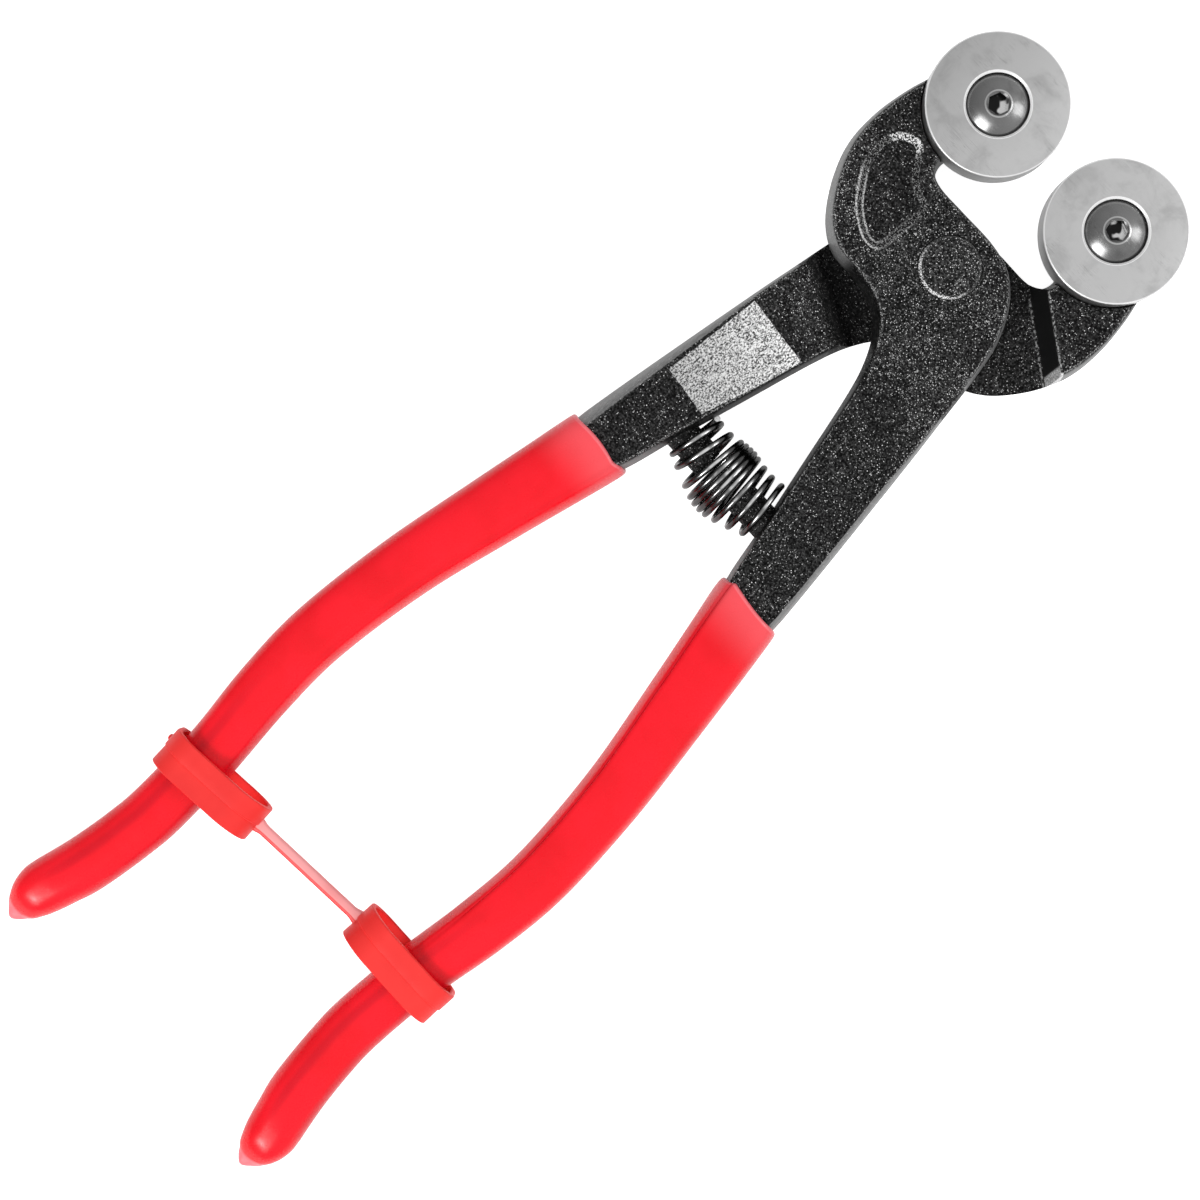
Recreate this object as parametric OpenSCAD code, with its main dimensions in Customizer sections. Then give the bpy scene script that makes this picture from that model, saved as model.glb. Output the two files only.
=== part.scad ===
// Wheeled glass nippers: two lapped forged arms, two cutting wheels, spring, dipped grips and a strap.
// Frame: origin on the pivot axis at the table, +Y toward the jaws, +Z up out of the front face. Millimetres.

/* [Head] */
// Thickness of the head where the two arms lap
head_t = 12; // [10:0.1:14]
// Gap between the two lap faces
lap_gap = 0.2; // [0.1:0.05:0.6]
// How far the forging draft and edge rounding pull the front and back faces in
draft_in = 1.35; // [0.5:0.05:2]
// Radius of the rivet shank
rivet_r = 3; // [2:0.1:4]
// Radius of the rivet heads
rivet_head_r = 4.85; // [4:0.05:6]
// Clearance round the rivet in the front arm
run_fit = 0.04; // [0.01:0.01:0.1]
// Depth of the pocket in the jaw
pocket_deep = 0.85; // [0.5:0.05:1.5]

/* [Wheels] */
// Diameter of a cutting wheel
wheel_d = 22; // [18:0.5:26]
// Thickness of a cutting wheel
wheel_t = 6.35; // [4:0.05:8]
// Sideways distance of each wheel from the centre line
wheel_x = 13; // [11.5:0.1:15]
// Distance of the wheels ahead of the pivot
wheel_y = 21.4; // [18:0.1:26]
// Height of the milled wheel seat above the table
seat_z = 9.4; // [7:0.1:11]
// Clearance between the wheel rim and the milled seat wall
seat_gap = 0.3; // [0.2:0.05:1]
// Radius of the stepped hole that the screw head sinks into
step_r = 4.85; // [4.85:0.05:6]
// Chamfer round the stepped hole
step_chamfer = 0.3; // [0.1:0.05:0.5]
// Depth of the stepped hole
step_deep = 1.9; // [1:0.1:3]

/* [Wheel screws] */
// Shank radius of the screw
screw_r = 2.5; // [2:0.1:3]
// Radius of the domed head
screw_head_r = 4.75; // [4:0.05:5]
// Height of the domed head
screw_head_h = 2.75; // [2:0.05:3.5]
// Hex socket size across flats
socket_af = 3; // [2:0.5:4]
// Depth of the hex socket
socket_deep = 1.7; // [1:0.1:2.2]

/* [Handles] */
// Half thickness of the bare handle just above the grips
shank_h = 4.7; // [4:0.1:5.5]
// Thickness of the dipped grip skin
grip_skin = 1.05; // [0.8:0.05:2]

/* [Spring] */
// Wire thickness of the return spring
wire_d = 0.92; // [0.7:0.02:1.2]
// Distance of the spring axis below the pivot
spring_y = 46.5; // [42:0.5:52]
// Height of the spring axis above the table
spring_z = 6.45; // [6:0.05:7]
// Radius of the spring pegs
peg_r = 2.7; // [2:0.1:3.2]
// Sideways distance from the centre line to the free end of each peg
peg_end = 3.15; // [2.5:0.05:6]

/* [Strap] */
// Height of the strap rings along the handle
ring_h = 6.3; // [4:0.1:8]
// Long outside size of a ring
ring_w = 18.9; // [17:0.1:22]
// Short outside size of a ring
ring_d = 12.4; // [12:0.1:14]
// Wall of a ring
ring_wall = 0.9; // [0.8:0.1:1.5]
// Outside radius of a ring's corners
ring_round = 4.2; // [2:0.1:6]
// Distance of the left and right ring below the pivot
ring_y = [135.5, 133.4]; // [125:0.1:145]
// How far the left and right ring lie turned on the handles, degrees
ring_turn = [5, -1]; // [-8:0.5:8]
// Sideways distance from the centre line to the middle of the left and right ring
ring_x = [19.2, 20.25]; // [18:0.05:22]
// Width of the tie between the rings
tie_w = 1.9; // [1:0.1:3]
// Thickness of the tie between the rings
tie_t = 1.5; // [0.8:0.1:2.5]

/* [Hidden] */

mid_z = head_t / 2;
wheel_top = seat_z + 0.05 + wheel_t;
forged = [0.16, 0.16, 0.17];
carbide = [0.6, 0.6, 0.62];
dark_steel = [0.25, 0.25, 0.27];
red_skin = [0.85, 0.1, 0.12];
red_strap = [0.9, 0.2, 0.15];

// A smooth curve through short lists of points, s steps between each two.
function curve_at(p, i, t) = let (n = len(p) - 1, a = p[max(i - 1, 0)], b = p[i], c = p[min(i + 1, n)],
  d = p[min(i + 2, n)]) 0.5 * (2 * b + (c - a) * t + (2 * a - 5 * b + 4 * c - d) * t * t
  + (3 * b - a - 3 * c + d) * t * t * t);
function curve(p, s) = concat([for (i = [0:len(p) - 2], j = [0:s - 1]) curve_at(p, i, j / s)],
  [p[len(p) - 1]]);

// Half of the forging as seen from the front: each station has a point on the outer jaw, boss and inner
// handle edge, then one on the inner jaw, throat and outer handle edge.
head_stations = [
  [-15.8, 29.1, -11.4, 29.3], [-21.2, 23.9, -6.0, 25.6], [-23.7, 17.2, -5.7, 18.2], [-24.7, 12.6, -9.2, 14.3],
  [-25.1, 8.6, -12.2, 11.6], [-24.9, 4.2, -11.9, 8.9], [-23.9, 0.4, -9.6, 7.9], [-21.6, -4.1, -4.6, 7.85],
  [-18.1, -8.4, 1.8, 7.8], [-14.0, -10.8, 6.7, 6.6], [-9.4, -11.1, 10.6, 3.3], [-4.8, -11.9, 13.4, -1.6],
  [-1.2, -14.2, 14.9, -7.4], [1.6, -18.6, 16.3, -15.8], [3.6, -24.4, 17.6, -23.8], [6.5, -36.0, 19.4, -36.0],
  [9.1, -46.5, 20.9, -46.5], [11.0, -55.0, 22.0, -55.0]];

// Outside of the shallow pocket forged in the face of the jaw.
pocket_corners = [[-20.6, 7.8], [-18.5, 9.5], [-15.5, 9], [-13, 5.6], [-9.2, 4], [-8.7, 0], [-9, -4.8],
  [-11.5, -6.6], [-15.5, -4.8], [-19, -1], [-21, 3], [-20.6, 7.8]];

// Outside of a grip from its top to its tip. Fields: distance below the pivot, inner edge, outer edge,
// half thickness.
grip_stations = [[57, 10.9, 22.9, 5.6], [60, 11.4, 23.5, 5.7], [76, 15.1, 26.2, 5.5], [92, 18.5, 28.7, 5.3],
  [108, 20.3, 30.0, 5.1], [120, 19.9, 29.3, 4.9], [132, 18.6, 27.6, 4.7], [144, 17.9, 26.9, 4.7],
  [150, 18.2, 27.2, 4.7], [156, 18.9, 28.0, 4.8], [160, 19.6, 28.8, 4.9], [163, 20.5, 29.5, 4.9],
  [165, 21.1, 29.8, 4.7], [167, 21.8, 29.6, 4.3], [168.5, 22.5, 29.1, 3.5], [169.6, 23.1, 28.5, 2.5],
  [170.4, 23.8, 28.0, 1.6], [171.1, 24.3, 27.3, 1.2], [171.7, 24.9, 26.7, 0.9], [172.1, 25.4, 26.2, 0.5]];

// Stations of the whole arm: the head, then the tang inside the grip. Fields: A x, A y, B x, B y,
// half thickness.
function head_half(y) = y > -12 ? mid_z : mid_z + (shank_h - mid_z) * min(1, (-12 - y) / 43);
tang_stations = [for (g = grip_stations) if (g[0] > 58 && g[0] < 166)
  [g[1] + grip_skin, -g[0], g[2] - grip_skin, -g[0], g[3] - grip_skin]];
arm_stations = curve(concat([for (h = head_stations) concat(h, [head_half((h[1] + h[3]) / 2)])],
  tang_stations), 4);

// Unit vector square to the edge that starts at field f, pointing to the inside of the plate.
function edge_in(k, f, side) = let (n = len(arm_stations) - 1, a = arm_stations[max(k - 1, 0)],
  b = arm_stations[min(k + 1, n)], t = [b[f] - a[f], b[f + 1] - a[f + 1]]) side * [-t[1], t[0]] / norm(t);

// One cross-section of the arm: ten points round the plate, widest at half thickness.
function arm_section(k, grow) = let (s = arm_stations[k], na = edge_in(k, 0, 1), nb = edge_in(k, 2, -1),
  e = min(draft_in, norm([s[2] - s[0], s[3] - s[1]]) * 0.3), h = s[4] + grow,
  a = function (d, z) concat([s[0], s[1]] + na * (d - grow), [mid_z + z]),
  b = function (d, z) concat([s[2], s[3]] + nb * (d - grow), [mid_z + z]))
  [a(0, 0), a(0.55 * e, h - 0.6), a(e, h), b(e, h), b(0.55 * e, h - 0.6), b(0, 0), b(0.55 * e, 0.6 - h),
    b(e, -h), a(e, -h), a(0.55 * e, 0.6 - h)];

// Skins a list of same-sized rings, and closes both ends with flat faces.
module skin(rings) {
  m = len(rings[0]);
  n = len(rings);
  polyhedron(points = [for (r = rings) for (p = r) p], faces = concat([[for (i = [m - 1:-1:0]) i]],
    [for (k = [0:n - 2], i = [0:m - 1], h = [0, 1]) let (j = (i + 1) % m)
      h == 0 ? [k * m + i, k * m + j, (k + 1) * m + i] : [k * m + j, (k + 1) * m + j, (k + 1) * m + i]],
    [[for (i = [0:m - 1]) (n - 1) * m + i]]), convexity = 8);
}

// The forging before machining.
module arm_blank() skin([for (k = [0:len(arm_stations) - 1]) arm_section(k, 0)]);

// The same shape from the grip down, a hair larger, to hollow the grip skin.
module tang_space() skin([for (k = [0:len(arm_stations) - 1])
  if (arm_stations[k][1] < -49) arm_section(k, 0.03)]);

// Space that the other arm's boss needs, between the step on the jaw and the step on the handle.
module lap_space() translate([0, 0, -2]) linear_extrude(mid_z + lap_gap / 2 + 2)
  polygon([[-26, -1.6], [-11.4, 8.6], [-9, 12], [24, 12], [24, -10.4], [15.8, -13.2], [2, -19.2], [-4, -22],
    [-26, -22]]);

// The forging with its lap machined: both arms start as this.
module lapped_forging() difference() {
  arm_blank();
  lap_space();
  translate([0, 0, head_t - pocket_deep]) linear_extrude(pocket_deep + 2) polygon(curve(pocket_corners, 3));
}

// What both jaws have: the milled wheel seat and the tapped hole, at the wheel on side s.
module jaw_work(s) translate([s * wheel_x, wheel_y, 0]) {
  translate([0, 0, seat_z]) cylinder(r = wheel_d / 2 + seat_gap, h = 10, $fn = 96);
  translate([0, 0, -1]) cylinder(r = screw_r + 0.01, h = 20, $fn = 48);
}

module front_arm() color(forged) difference() {
  lapped_forging();
  jaw_work(-1);
  translate([0, 0, -1]) cylinder(r = rivet_r + run_fit, h = 20, $fn = 48);
  translate([0, 0, head_t - 0.5]) cylinder(r = rivet_head_r + 0.2, h = 3, $fn = 64);
  peg_hole();
}

module back_arm() color(forged) difference() {
  translate([0, 0, head_t]) rotate([0, 180, 0]) lapped_forging();
  jaw_work(1);
  translate([0, 0, -1]) cylinder(r = rivet_r + 0.01, h = 20, $fn = 48);
  translate([0, 0, -1]) cylinder(r = rivet_head_r + 0.01, h = 3, $fn = 64);
  mirror([1, 0, 0]) peg_hole();
}

// Rivet: shank, back head flush in the back arm, and a low domed front head.
module pivot_rivet() color(dark_steel) rotate_extrude($fn = 64)
  polygon([[0, 0], [rivet_head_r, 0], [rivet_head_r, 2], [rivet_r, 2], [rivet_r, head_t - 0.45],
    [rivet_head_r, head_t - 0.45], [rivet_head_r, head_t + 0.1], [rivet_head_r - 0.45, head_t + 0.45],
    [0, head_t + 0.6]]);

// Wheel: a disc with softened rim edges and a stepped hole.
module wheel() color(carbide) translate([0, 0, wheel_top - wheel_t]) rotate_extrude($fn = 128)
  polygon([[screw_r + 0.05, 0], [wheel_d / 2 - 0.2, 0], [wheel_d / 2, 0.2], [wheel_d / 2, wheel_t - 0.2],
    [wheel_d / 2 - 0.2, wheel_t], [step_r + step_chamfer, wheel_t], [step_r, wheel_t - step_chamfer],
    [step_r, wheel_t - step_deep], [screw_r + 0.05, wheel_t - step_deep]]);

module left_wheel() translate([-wheel_x, wheel_y, 0]) wheel();
module right_wheel() translate([wheel_x, wheel_y, 0]) wheel();

// Domed screw: shank down through the jaw, low button head, hex socket.
module wheel_screw() color(dark_steel) translate([0, 0, wheel_top - step_deep + 0.03]) difference() {
  union() {
    translate([0, 0, -wheel_top + step_deep + 1]) cylinder(r = screw_r, h = wheel_top - step_deep, $fn = 48);
    rotate_extrude($fn = 96) intersection() {
      translate([0, -5.2]) circle(r = 5.2 + screw_head_h, $fn = 128);
      square([screw_head_r, screw_head_h]);
    }
  }
  translate([0, 0, screw_head_h - socket_deep]) cylinder(d = socket_af / cos(30), h = 5, $fn = 6);
  translate([0, 0, screw_head_h - 0.35])
    cylinder(r1 = socket_af / 2, r2 = socket_af / 2 + 0.5, h = 0.4, $fn = 48);
}

module left_wheel_screw() translate([-wheel_x, wheel_y, 0]) wheel_screw();
module right_wheel_screw() translate([wheel_x, wheel_y, 0]) wheel_screw();

// Spring: one helix. Each row gives a turn's place along the axis and its outside diameter.
turns = [[-8.0, 9.6], [-7.0, 9.8], [-4.2, 11.2], [-1.95, 12.2], [-0.95, 12.6], [0.05, 12.8], [1.05, 12.8],
  [2.05, 12.4], [4.7, 11.2], [7.0, 9.9], [8.0, 9.6]];
spring_path = curve(turns, 20);
function spring_point(k) = let (s = spring_path[k], a = 360 * k / 20 + 90, r = (s[1] - wire_d) / 2,
  lean = 0.14 * s[0] / 8) [s[0] - lean * r * sin(a), -spring_y + r * sin(a), spring_z + r * cos(a)];
module return_spring() color(dark_steel) skin([for (k = [0:len(spring_path) - 1]) let (
  a = spring_point(max(k - 1, 0)), c = spring_point(min(k + 1, len(spring_path) - 1)), p = spring_point(k),
  t = (c - a) / norm(c - a), o = (p - [p[0], -spring_y, spring_z]), u = o / norm(o), v = cross(t, u))
  [for (i = [0:7]) p + wire_d / 2 * (u * cos(45 * i) - v * sin(45 * i))]]);

// Stub peg: round stud with a softened end, set in the handle's inner edge.
module peg() color(forged) translate([peg_end, -spring_y, mid_z]) rotate([0, 90, 0]) rotate_extrude($fn = 48)
  polygon([[0, 0], [peg_r - 0.5, 0], [peg_r, 0.5], [peg_r, 9.5], [0, 9.5]]);
module peg_hole() translate([0, -spring_y, mid_z]) rotate([0, 90, 0])
  cylinder(r = peg_r + 0.01, h = peg_end + 9.51, $fn = 48);
module right_spring_peg() peg();
module left_spring_peg() mirror([1, 0, 0]) peg();

// Grip: a rounded-off hexagonal skin over the tang, closed at the tip.
function swell(c) = sign(c) * pow(abs(c), 0.78);
module grip() color(red_skin) difference() {
  skin([for (g = curve(grip_stations, 3)) [for (i = [0:23]) let (a = 15 * i)
    [(g[1] + g[2]) / 2 - (g[2] - g[1]) / 2 * swell(cos(a)), -g[0], mid_z + g[3] * swell(sin(a))]]]);
  tang_space();
}
module right_grip() grip();
module left_grip() mirror([1, 0, 0]) grip();

// Strap ring: a flat oblong band that a grip passes through. Side 0 is the left one, 1 the right one.
module oblong(w, d, r, h) rotate([90, 0, 0]) linear_extrude(h, center = true) union() {
  square([w - 2 * r, d], center = true);
  square([w, d - 2 * r], center = true);
  for (s = [-1, 1], t = [-1, 1]) translate([s * (w / 2 - r), t * (d / 2 - r)]) circle(r = r, $fn = 48);
}
module at_ring(side) translate([(2 * side - 1) * ring_x[side], -ring_y[side], ring_d / 2])
  rotate([0, 0, ring_turn[side]]) children();
module ring(side) color(red_strap) at_ring(side) difference() {
  oblong(ring_w, ring_d, ring_round, ring_h);
  oblong(ring_w - 2 * ring_wall, ring_d - 2 * ring_wall, ring_round - ring_wall, ring_h + 2);
}
module right_strap_ring() ring(1);
module left_strap_ring() {
  ring(0);
  color(red_strap) at_ring(0) translate([0.1 - ring_w / 2, 0, 0]) rotate([0, -90, 0])
    cylinder(r1 = 0.55, r2 = 0.35, h = 0.8, $fn = 24);
}

// Tie: a thin flat bar from the left ring's near end to the right ring's.
function near_end(side, gap) = let (s = 1 - 2 * side, a = ring_turn[side], d = ring_w / 2 + gap)
  [-s * ring_x[side] + s * d * cos(a), -ring_y[side] + s * d * sin(a)];
module strap_tie() let (p = near_end(0, 0.06), q = near_end(1, 0.06), m = (p + q) / 2)
  color(red_strap) translate([m[0], m[1], ring_d / 2]) rotate([0, 0, atan2(q[1] - p[1], q[0] - p[0])])
    cube([norm(q - p), tie_w, tie_t], center = true);

front_arm();
back_arm();
pivot_rivet();
left_wheel();
right_wheel();
left_wheel_screw();
right_wheel_screw();
return_spring();
left_spring_peg();
right_spring_peg();
left_grip();
right_grip();
left_strap_ring();
right_strap_ring();
strap_tie();
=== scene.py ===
import bpy
import bmesh
import math
import numpy as np
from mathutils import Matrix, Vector


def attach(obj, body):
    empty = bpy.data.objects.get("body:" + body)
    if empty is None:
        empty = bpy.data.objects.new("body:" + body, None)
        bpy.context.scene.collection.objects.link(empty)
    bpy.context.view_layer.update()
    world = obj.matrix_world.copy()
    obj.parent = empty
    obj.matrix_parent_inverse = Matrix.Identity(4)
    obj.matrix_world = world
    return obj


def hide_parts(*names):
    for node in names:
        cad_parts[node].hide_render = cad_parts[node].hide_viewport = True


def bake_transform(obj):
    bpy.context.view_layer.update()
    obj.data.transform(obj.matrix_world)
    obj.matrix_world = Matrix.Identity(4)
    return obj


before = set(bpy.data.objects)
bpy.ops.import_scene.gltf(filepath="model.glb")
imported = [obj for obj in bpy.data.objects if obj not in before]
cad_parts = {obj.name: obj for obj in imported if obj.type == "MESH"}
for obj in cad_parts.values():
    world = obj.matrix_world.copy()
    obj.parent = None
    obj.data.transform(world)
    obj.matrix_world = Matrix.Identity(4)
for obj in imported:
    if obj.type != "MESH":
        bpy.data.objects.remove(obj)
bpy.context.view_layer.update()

# Wheeled glass nippers. Lengths are in millimetres until a mesh is made, and in metres from then on.
MM = 0.001
HEAD_T = 12.0
MID_Z = HEAD_T / 2
WHEEL_X, WHEEL_Y = 13.0, 21.4
WHEEL_TOP = 15.8
WHEEL_T = 6.35
SPRING_Y, SPRING_Z = -46.5, 6.45

scene = bpy.context.scene
scene.view_settings.view_transform = "Standard"


# ---- camera, floor and light

CAMERA_LENS = 90.87
CAMERA_PLACE = (0.00064, -0.073, 0.470)
CAMERA_TURN = 47.0


def place_camera():
    data = bpy.data.cameras.new("camera")
    data.lens, data.sensor_width = CAMERA_LENS, 36.0
    data.clip_start, data.clip_end = 0.02, 20.0
    camera = bpy.data.objects.new("camera", data)
    camera.location = CAMERA_PLACE
    camera.rotation_euler = (0, 0, math.radians(CAMERA_TURN))
    scene.collection.objects.link(camera)
    scene.camera = camera


def softbox(name, place, aim, width, power):
    data = bpy.data.lights.new(name, "AREA")
    data.shape, data.size, data.size_y, data.energy = "RECTANGLE", width, width, power
    lamp = bpy.data.objects.new(name, data)
    lamp.location = place
    lamp.rotation_euler = (Vector(aim) - Vector(place)).to_track_quat("-Z", "Y").to_euler()
    scene.collection.objects.link(lamp)


place_camera()


# ---- small helpers for node trees

class Bench:
    """Adds nodes to one tree. A call gives back the node's first output, or the node with whole=True."""

    def __init__(self, tree):
        self.tree = tree
        self.count = 0

    def feed(self, value, socket):
        if isinstance(value, bpy.types.NodeSocket):
            self.tree.links.new(value, socket)
        else:
            socket.default_value = value

    def give(self, leave, **values):
        for label, value in values.items():
            self.feed(value, leave[label])

    def add(self, kind, inputs=None, whole=False, out=0, **settings):
        node = self.tree.nodes.new(kind)
        node.location = (190 * (self.count % 9), -230 * (self.count // 9))
        self.count += 1
        for key, value in settings.items():
            setattr(node, key, value)
        for key, value in (inputs or {}).items():
            self.feed(value, node.inputs[key])
        return node if whole else node.outputs[out]

    def sum(self, kind, *values, clamp=False):
        return self.add("ShaderNodeMath", dict(enumerate(values)), operation=kind, use_clamp=clamp)

    def plus(self, a, b, clamp=False):
        return self.sum("ADD", a, b, clamp=clamp)

    def minus(self, a, b):
        return self.sum("SUBTRACT", a, b)

    def times(self, a, b, *more):
        product = self.sum("MULTIPLY", a, b)
        return self.times(product, *more) if more else product

    def fit(self, value, factor, offset):
        return self.sum("MULTIPLY_ADD", value, factor, offset)

    def larger(self, a, b):
        return self.sum("MAXIMUM", a, b)

    def power(self, a, b):
        return self.sum("POWER", a, b)

    def size(self, value):
        return self.sum("ABSOLUTE", value)

    def flip(self, share):
        return self.minus(1.0, share)

    def move(self, kind, a, b=None, scale=None):
        given = {key: value for key, value in ((0, a), (1, b), ("Scale", scale)) if value is not None}
        return self.add("ShaderNodeVectorMath", given, operation=kind,
                        out="Value" if kind == "DISTANCE" else "Vector")

    def ramp(self, value, low, high, out_low=0.0, out_high=1.0, smooth=True):
        limits = {"Value": value, "From Min": low, "From Max": high, "To Min": out_low, "To Max": out_high}
        return self.add("ShaderNodeMapRange", limits, interpolation_type="SMOOTHSTEP" if smooth else "LINEAR")

    def near(self, value, centre, wide, narrow):
        """1 where the value is within narrow of the centre, fading to 0 at wide."""
        return self.ramp(self.size(self.minus(value, centre)), wide, narrow)

    def mix(self, share, a, b, kind="MIX"):
        return self.add("ShaderNodeMix", {0: share, 6: a, 7: b}, out=2, data_type="RGBA", blend_type=kind)

    def mix_number(self, share, a, b):
        return self.add("ShaderNodeMix", {0: share, 2: a, 3: b}, data_type="FLOAT")

    def parts(self, vector):
        return self.add("ShaderNodeSeparateXYZ", {0: vector}, whole=True).outputs

    def noise(self, place, scale, detail=2.0, rough=0.5, bend=0.0):
        return self.add("ShaderNodeTexNoise", {"Vector": place, "Scale": scale, "Detail": detail,
                                               "Roughness": rough, "Distortion": bend})

    def stretch(self, place, scale, turn=0.0):
        return self.add("ShaderNodeMapping", {"Vector": place, "Scale": scale, "Rotation": (0, 0, turn)})

    def marked(self, name):
        """The number that the mesh keeps at each point under this name."""
        return self.add("ShaderNodeAttribute", attribute_name=name, out=2)

    def off_axis(self, place, x_axis, y_axis):
        """Distance from an upright axis, taking the left and right halves as mirror images."""
        x, y, _ = self.parts(place)
        flat = self.add("ShaderNodeCombineXYZ", {0: self.size(x), 1: y, 2: 0.0})
        return self.move("DISTANCE", flat, (x_axis, y_axis, 0.0))


def tone(grey):
    return (grey, grey, grey, 1.0)


def new_group(name, kind, inputs, outputs):
    group = bpy.data.node_groups.new(name, kind)
    for direction, sockets in (("INPUT", inputs), ("OUTPUT", outputs)):
        for label, socket_kind, value in sockets:
            item = group.interface.new_socket(label, in_out=direction, socket_type=socket_kind)
            if value is not None:
                item.default_value = value
    bench = Bench(group)
    entry = group.nodes.new("NodeGroupInput")
    leave = group.nodes.new("NodeGroupOutput")
    entry.location, leave.location = (-300, 0), (2000, 0)
    return group, bench, entry.outputs, leave.inputs


# ---- shared finishes, as shader groups

FLOAT, COLOUR, VECTOR = "NodeSocketFloat", "NodeSocketColor", "NodeSocketVector"
BLACK = tone(0.0)
SURFACE = [("Colour", COLOUR, None), ("Roughness", FLOAT, None), ("Height", FLOAT, None)]


def millimetre_place():
    """The place on the piece in millimetres, the same in every pose, and how far the surface faces up."""
    group, b, entry, leave = new_group("Place in millimetres", "ShaderNodeTree", [],
                                       [("Place", VECTOR, None), ("Up", FLOAT, None)])
    here = b.add("ShaderNodeTexCoord", whole=True).outputs["Object"]
    normal = b.add("ShaderNodeNewGeometry", whole=True).outputs["Normal"]
    b.give(leave, Place=b.move("SCALE", here, scale=1 / MM), Up=b.parts(normal)[2])
    return group


def wrinkle_coat():
    """Black wrinkle coat: a fine uneven tone with pale grains of many strengths that are painted glints."""
    group, b, entry, leave = new_group(
        "Wrinkle coat", "ShaderNodeTree",
        [("Place", VECTOR, None), ("Grain", FLOAT, 4.5), ("Sparkle", FLOAT, 0.3),
         ("Deep tone", COLOUR, BLACK), ("Worn tone", COLOUR, BLACK), ("Painted glint tone", COLOUR, BLACK)], SURFACE)
    place = entry["Place"]
    crumbs = b.noise(place, b.times(entry["Grain"], 0.6), 2.0, 0.6)
    drift = b.ramp(b.noise(place, 0.21, 3.0, 0.6), 0.30, 0.70)
    ridges = b.power(b.ramp(crumbs, 0.36, b.fit(drift, -0.08, 0.80), smooth=False), 1.8)
    base = b.mix(ridges, entry["Deep tone"], entry["Worn tone"])
    cells = b.add("ShaderNodeTexVoronoi", {"Vector": place, "Scale": b.times(entry["Grain"], 0.95)},
                  whole=True, feature="F1")
    chance = b.parts(cells.outputs["Color"])
    # Sparkle is the share of cells that shine as painted glints, and it drifts slowly over the surface.
    share = b.times(entry["Sparkle"], b.fit(drift, 0.5, 0.7))
    lit = b.ramp(chance[0], b.flip(share), b.fit(share, -0.5, 1.03), smooth=False)
    strength = b.fit(b.power(chance[1], 2.3), 0.94, 0.06)
    # The painted glints: pale cells that stand in for light catching the coat.
    painted_glint = b.times(lit, strength, b.ramp(cells.outputs["Distance"], 0.50, 0.22))
    b.give(leave, Colour=b.mix(painted_glint, base, entry["Painted glint tone"]), Roughness=b.fit(painted_glint, -0.15, 0.50),
           Height=b.plus(b.times(crumbs, 0.7), b.times(painted_glint, 0.4)))
    return group


def ground_steel():
    """Ground or lapped steel: faint cloudy smudges and fine crossing scratches."""
    group, b, entry, leave = new_group(
        "Ground steel", "ShaderNodeTree",
        [("Place", VECTOR, None), ("Tone", COLOUR, BLACK), ("Smudge tone", COLOUR, BLACK),
         ("Gloss", FLOAT, 0.35), ("Scratches", FLOAT, 0.5)], SURFACE)
    place = entry["Place"]
    cloud = b.ramp(b.noise(place, 0.22, 4.0, 0.62, 0.4), 0.42, 0.75)
    scratches = 0.0
    for turn, scale in ((0.5, 0.9), (2.1, 0.7), (1.2, 1.2)):
        bent = b.noise(b.stretch(place, (0.07, 2.6, 0.3), turn), scale, 2.0, 0.5, 0.25)
        scratches = b.larger(scratches, b.near(bent, 0.5, 0.012, 0.0))
    lines = b.times(scratches, b.ramp(b.noise(place, 0.35, 1.0), 0.52, 0.7))
    haze = b.noise(b.stretch(place, (0.5, 5.0, 1.0), 0.8), 1.1, 3.0)
    dark = b.plus(b.times(cloud, 0.8), b.times(lines, entry["Scratches"], 0.8), clamp=True)
    b.give(leave, Colour=b.mix(dark, entry["Tone"], entry["Smudge tone"]),
           Roughness=b.plus(entry["Gloss"], b.times(b.minus(haze, 0.5), 0.16)),
           Height=b.minus(haze, b.times(lines, 0.5)))
    return group


def dipped_skin():
    """Dipped or moulded red plastic: slow colour drift, tiny pits and slow waves."""
    group, b, entry, leave = new_group(
        "Red skin", "ShaderNodeTree",
        [("Place", VECTOR, None), ("Tone", COLOUR, BLACK), ("Deep tone", COLOUR, BLACK),
         ("Gloss", FLOAT, 0.3), ("Pits", FLOAT, 0.5)], SURFACE)
    place = entry["Place"]
    drift = b.noise(place, 0.09, 3.0, 0.55)
    pits = b.ramp(b.noise(place, 1.5, 1.0), 0.70, 0.78)
    lumps = b.noise(place, 0.5, 2.0, 0.5)
    b.give(leave, Colour=b.mix(b.ramp(drift, 0.35, 0.7), entry["Tone"], entry["Deep tone"]),
           Roughness=b.plus(entry["Gloss"], b.times(lumps, 0.12)),
           Height=b.minus(b.times(lumps, 0.6), b.times(pits, entry["Pits"])))
    return group


PLACE = millimetre_place()
COAT = wrinkle_coat()
STEEL = ground_steel()
SKIN = dipped_skin()


def start_finish(name):
    finish = bpy.data.materials.new(name)
    finish.use_nodes = True
    finish.node_tree.nodes.clear()
    b = Bench(finish.node_tree)
    shader = b.add("ShaderNodeBsdfPrincipled", whole=True)
    out = b.add("ShaderNodeOutputMaterial", whole=True)
    b.feed(shader.outputs[0], out.inputs["Surface"])
    here = b.add("ShaderNodeGroup", whole=True, node_tree=PLACE)
    return finish, b, shader, here.outputs["Place"], here.outputs["Up"]


def use(b, group, inputs):
    return b.add("ShaderNodeGroup", inputs, whole=True, node_tree=group).outputs


def settle(b, shader, colour, roughness, height, depth_mm, metallic, specular=0.5):
    """Joins the surface values to the shader. Bump depth is in millimetres."""
    normal = b.add("ShaderNodeBump", {"Height": height, "Strength": 1.0, "Distance": depth_mm * MM})
    values = {"Base Color": colour, "Roughness": roughness, "Metallic": metallic, "Normal": normal,
              "Specular IOR Level": specular}
    for label, value in values.items():
        b.feed(value, shader.inputs[label])


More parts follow.
